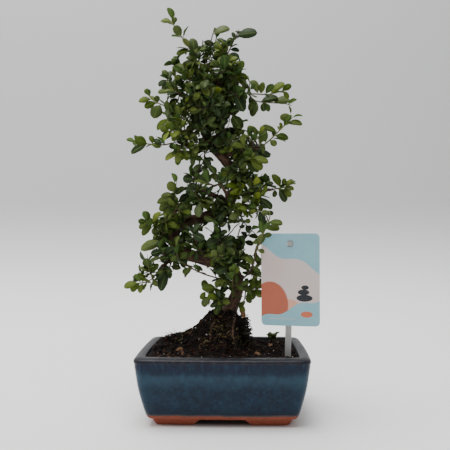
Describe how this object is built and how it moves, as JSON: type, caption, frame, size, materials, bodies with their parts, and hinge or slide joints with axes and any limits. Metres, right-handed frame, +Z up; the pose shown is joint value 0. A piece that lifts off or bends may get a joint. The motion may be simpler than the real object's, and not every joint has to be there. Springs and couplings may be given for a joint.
{
  "type": "cotoneaster bonsai in pot",
  "caption": "Small-leaved cotoneaster bonsai with an S-shaped trunk on a root mound, in a blue glazed rectangular pot with clay feet and a plant label on a stake.",
  "frame": {"origin": "middle of the plant's whole outline, on the surface that the pot stands on", "axes": "+Z up along the tree, +X to the right and +Y away from the viewer, with the pot's long side and the label facing -Y"},
  "size_m": [0.1858, 0.1278, 0.3958],
  "materials": {
    "glazed_clay": "glossy mottled blue glaze, bare orange clay at the feet",
    "soil": "moist dark potting soil",
    "bark": "rough grey-brown bark",
    "leaf_green": "satin green leaves on brown shoots",
    "weed_green": "matt dark green",
    "printed_card": "satin printed card",
    "clear_plastic": "frosted clear plastic"
  },
  "bodies": {
    "root": {"pot": "glazed_clay", "soil": "soil", "trunk": "bark", "label_card": "printed_card", "label_stake": "clear_plastic", "weed": "weed_green", "crown_tip_left": "leaf_green", "crown_stems": "leaf_green", "crown_tip_right": "leaf_green", "crown_right": "leaf_green", "crown_left": "leaf_green", "crown_left_low": "leaf_green", "crown_front": "leaf_green", "crown_front_low": "leaf_green", "crown_back_right": "leaf_green", "crown_back_left": "leaf_green", "crown_back": "leaf_green", "left_high": "leaf_green", "left_yellow": "leaf_green", "left_low_thin": "leaf_green", "left_under": "leaf_green", "under_bough": "leaf_green", "right_high": "leaf_green", "right_inner": "leaf_green", "right_leaf": "leaf_green", "right_mid_long": "leaf_green", "right_mid_cluster": "leaf_green", "right_mid_low": "leaf_green", "right_shoulder": "leaf_green", "right_inner_mid": "leaf_green", "mid_left_top": "leaf_green", "mid_left_low": "leaf_green", "mid_upright": "leaf_green", "far_left_top": "leaf_green", "far_left_mid": "leaf_green", "far_left_low": "leaf_green", "low_left_tip": "leaf_green", "low_left_hang": "leaf_green", "long_runner": "leaf_green", "low_centre_left": "leaf_green", "low_centre": "leaf_green", "low_centre_right": "leaf_green", "low_front": "leaf_green", "low_left_small": "leaf_green", "low_right": "leaf_green", "right_runner": "leaf_green", "base_shoot": "leaf_green", "shelf_tip": "leaf_green", "shelf_mid": "leaf_green", "shelf_front": "leaf_green", "arch_tip": "leaf_green", "arch_hang": "leaf_green", "back_low": "leaf_green", "back_mid": "leaf_green", "back_high": "leaf_green", "back_left": "leaf_green", "front_mid": "leaf_green"}
  },
  "joints": []
}
